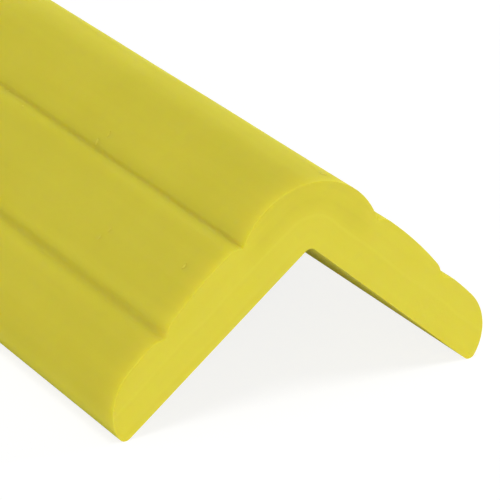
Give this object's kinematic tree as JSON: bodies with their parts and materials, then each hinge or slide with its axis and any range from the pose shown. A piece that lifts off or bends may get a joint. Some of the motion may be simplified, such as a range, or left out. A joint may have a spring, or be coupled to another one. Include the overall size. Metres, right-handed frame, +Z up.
{
  "type": "foam corner guard",
  "caption": "Soft foam corner guard strip: an angled extrusion with a lobed outer side, two lengthwise grooves on each leg and flat bonding faces inside.",
  "frame": {"origin": "centre of the bottom of the bounding box, midway between the leg tips, on the surface they stand on", "axes": "+Y along the strip, away from the cut end that the picture shows; +Z up through the crown; +X across to the right leg"},
  "size_m": [0.078, 1, 0.0417],
  "materials": {
    "foam": "matte yellow closed-cell foam with a fine moulded skin and plain cut ends"
  },
  "bodies": {
    "root": {"guard": "foam"}
  },
  "joints": []
}
